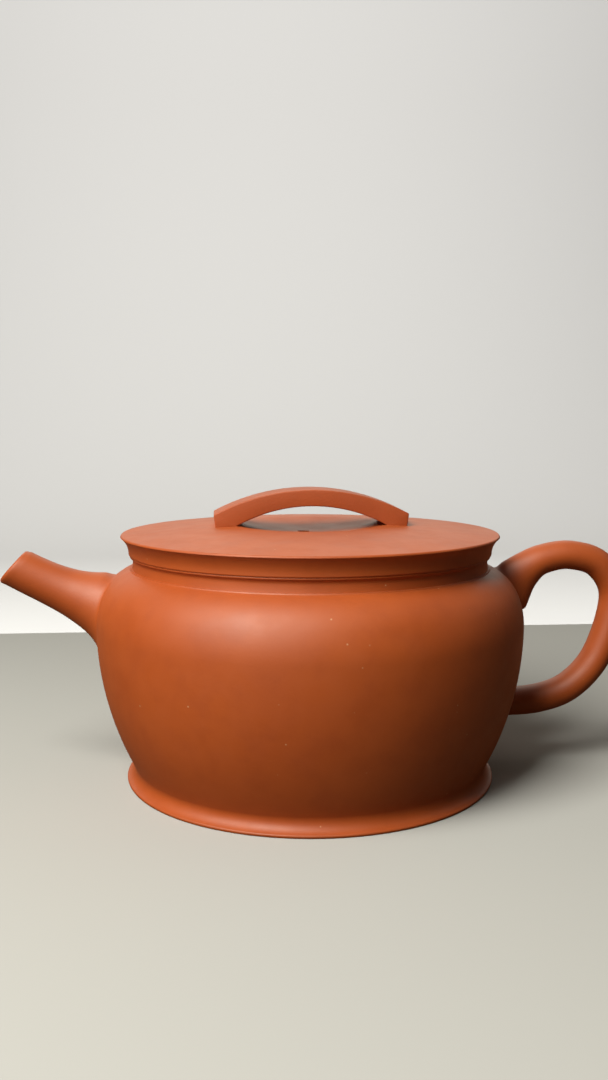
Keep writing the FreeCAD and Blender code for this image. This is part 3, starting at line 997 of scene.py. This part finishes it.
class TEAPOT_OT_bridge(bpy.types.Operator):
    """Bend the strap of clay that bridges the dish"""

    bl_idname = "teapot.bridge"
    bl_label = "Bridge Knob"

    def execute(self, context):
        sizes = context.scene.teapot_bridge
        piece = start_piece("bridge_strap")
        for line in bridge_lines(sizes):
            draw(line)
        bpy.ops.mesh.select_all(action="SELECT")
        bpy.ops.mesh.bridge_edge_loops()
        close_seams()
        bpy.ops.object.mode_set(mode="OBJECT")
        low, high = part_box("bridge_knob")
        shape_with(piece, "SOLIDIFY", thickness=high.y - low.y, offset=0.0)
        shape_with(piece, "BEVEL", width=sizes.edge_round, segments=BEVEL_STEPS)
        fire(piece, "lid", "burnished_clay", cut_clay(), "bridge_knob")
        return {"FINISHED"}


# The strainer


class TEAPOT_OT_strainer(bpy.types.Operator):
    """Pierce the wall for the strainer at the root of the spout and give its ball raw clay"""

    bl_idname = "teapot.strainer"
    bl_label = "Strainer"

    def execute(self, context):
        scene = context.scene
        pot, spout = scene.teapot_pot, scene.teapot_spout
        root, leaving, _ = spout_route(pot, spout)
        wall = bpy.data.objects["pot_body"]
        pierce(wall, upright(root), upright(leaving), spout.strainer_radius, 4 * pot.wall)
        give_clay(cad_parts["strainer_dome"], raw_clay())
        return {"FINISHED"}


# The stage


def pale_floor(settings):
    """A floor that looks pale and throws back little light, so that the clay stays dark near its foot."""
    material = bpy.data.materials.new("pale_floor")
    material.use_nodes = True
    tree = material.node_tree
    tree.nodes.remove(tree.nodes["Principled BSDF"])
    seen = tree.nodes.new("ShaderNodeLightPath").outputs["Is Camera Ray"]
    looks = []
    for tint in (settings.bounce, settings.floor):
        looks.append(add_node(tree, "ShaderNodeBsdfDiffuse", {"Color": (*tint, 1.0)}).outputs["BSDF"])
    mix = add_node(tree, "ShaderNodeMixShader", {0: seen, 1: looks[0], 2: looks[1]})
    feed(tree, tree.nodes["Material Output"].inputs["Surface"], mix.outputs["Shader"])
    return material


def add_floor(settings):
    """A pale floor that sweeps up into a wall behind the pot."""
    bpy.ops.object.select_all(action="DESELECT")
    bpy.ops.mesh.primitive_plane_add(size=settings.floor_size, location=(0, 0, 0))
    floor = bpy.context.object
    floor.name = "stage_floor"
    bpy.ops.transform.translate(value=(0, settings.wall_distance - settings.floor_size / 2, 0))
    bpy.ops.object.transform_apply(location=True, rotation=False, scale=False)
    bpy.ops.object.mode_set(mode="EDIT")
    mesh = bmesh.from_edit_mesh(floor.data)
    for edge in mesh.edges:
        edge.select_set(all(vert.co.y > 0 for vert in edge.verts))
    bmesh.update_edit_mesh(floor.data)
    bpy.ops.mesh.extrude_edges_move(TRANSFORM_OT_translate={"value": (0, 0, settings.floor_size / 2)})
    bpy.ops.object.mode_set(mode="OBJECT")
    shape_with(floor, "BEVEL", width=settings.wall_distance / 2, segments=SWEEP_STEPS)
    bpy.ops.object.shade_smooth()
    floor.data.materials.append(pale_floor(settings))
    return floor


def add_light(name, place, target, width, height, power, tint):
    """A soft light that faces a point and doesn't show itself."""
    bpy.ops.object.light_add(type="AREA", location=place)
    light = bpy.context.object
    light.name = name
    light.data.shape = "RECTANGLE"
    light.data.size = width
    light.data.size_y = height
    light.data.energy = power
    light.data.color = tint
    light.rotation_euler = (Vector(target) - Vector(place)).to_track_quat("-Z", "Y").to_euler()
    light.visible_camera = False
    return light


def spare(light, piece):
    """Keeps a light off one piece."""
    spared = bpy.data.collections.new(light.name + "_spares")
    spared.objects.link(piece)
    spared.collection_objects[0].light_linking.link_state = "EXCLUDE"
    light.light_linking.receiver_collection = spared


def round_pot(turn, elevation, distance):
    """A place at an angle round the pot, which is 0 in front and grows towards the handle."""
    level = distance * math.cos(elevation)
    return level * math.sin(turn), -level * math.cos(turn), distance * math.sin(elevation)


def set_world(settings):
    """A dim room that looks as pale as the wall."""
    world = bpy.data.worlds.new("soft_room")
    world.use_nodes = True
    tree = world.node_tree
    seen = tree.nodes.new("ShaderNodeLightPath").outputs["Is Camera Ray"]
    background = tree.nodes["Background"]
    background.inputs["Strength"].default_value = 1.0
    light = mixed(tree, seen, (*settings.room, 1.0), (*settings.floor, 1.0))
    feed(tree, background.inputs["Color"], light)
    bpy.context.scene.world = world


def add_camera(settings):
    """A camera that looks at the pot as the photograph does."""
    side = settings.camera_angle
    across, back, _ = round_pot(side, 0.0, settings.camera_distance)
    turn = (math.pi / 2 - settings.camera_pitch, 0.0, side + settings.camera_aim)
    bpy.ops.object.camera_add(location=(across, back, settings.camera_height), rotation=turn)
    camera = bpy.context.object
    camera.data.lens = settings.camera_lens
    camera.data.sensor_width = SENSOR_WIDTH
    camera.data.clip_start = settings.camera_near
    bpy.context.scene.camera = camera


class TEAPOT_OT_stage(bpy.types.Operator):
    """Set the pale floor, the soft lights and the camera"""

    bl_idname = "teapot.stage"
    bl_label = "Stage"

    def execute(self, context):
        settings = context.scene.teapot_stage
        floor = add_floor(settings)
        middle = (0.0, 0.0, settings.light_aim)
        key = round_pot(settings.key_angle, settings.key_height, settings.key_distance)
        fill = round_pot(settings.fill_angle, settings.fill_height, settings.key_distance)
        wide, tall, warm = settings.glow_size, settings.key_tall, settings.warm
        glow = (0.0, settings.glow_distance, wide / 2)
        wash = (0.0, settings.wash_distance, wide / 2)
        ceiling = (0.0, settings.wash_distance, settings.ceiling_height)
        add_light("key_light", key, middle, settings.key_width, tall, settings.key_power, warm)
        add_light("fill_light", fill, middle, tall, tall, settings.fill_power, warm)
        add_light("ceiling_light", ceiling, middle, wide, wide, settings.ceiling_power, warm)
        add_light("wall_wash", wash, glow, wide, wide, settings.wash_power, settings.plain)
        spare(add_light("wall_glow", glow, wash, wide, wide, settings.glow_power, warm), floor)
        set_world(settings)
        context.scene.view_settings.view_transform = "Standard"
        add_camera(settings)
        return {"FINISHED"}


class TEAPOT_PT_sidebar(bpy.types.Panel):
    """The teapot's pieces in the order that they are made"""

    bl_label = "Clay Teapot"
    bl_idname = "TEAPOT_PT_sidebar"
    bl_space_type = "VIEW_3D"
    bl_region_type = "UI"
    bl_category = "Teapot"

    def draw(self, context):
        for operator in OPERATORS:
            self.layout.operator(operator.bl_idname)


SETTINGS = {
    "teapot_pot": PotSizes,
    "teapot_lid": LidSizes,
    "teapot_spout": SpoutSizes,
    "teapot_handle": HandleSizes,
    "teapot_bridge": BridgeSizes,
    "teapot_clay": ClayColours,
    "teapot_stage": StageSettings,
}
OPERATORS = (
    TEAPOT_OT_pot_body,
    TEAPOT_OT_pot_floor,
    TEAPOT_OT_spout,
    TEAPOT_OT_strainer,
    TEAPOT_OT_handle,
    TEAPOT_OT_lid,
    TEAPOT_OT_flange,
    TEAPOT_OT_bridge,
    TEAPOT_OT_stage,
)


def register():
    for name, group in SETTINGS.items():
        bpy.utils.register_class(group)
        setattr(bpy.types.Scene, name, PointerProperty(type=group))
    for operator in OPERATORS:
        bpy.utils.register_class(operator)
    bpy.utils.register_class(TEAPOT_PT_sidebar)


def unregister():
    bpy.utils.unregister_class(TEAPOT_PT_sidebar)
    for operator in reversed(OPERATORS):
        bpy.utils.unregister_class(operator)
    for name, group in SETTINGS.items():
        delattr(bpy.types.Scene, name)
        bpy.utils.unregister_class(group)


def main():
    register()
    for operator in OPERATORS:
        group, name = operator.bl_idname.split(".")
        getattr(getattr(bpy.ops, group), name)()


if __name__ == "__main__":
    main()
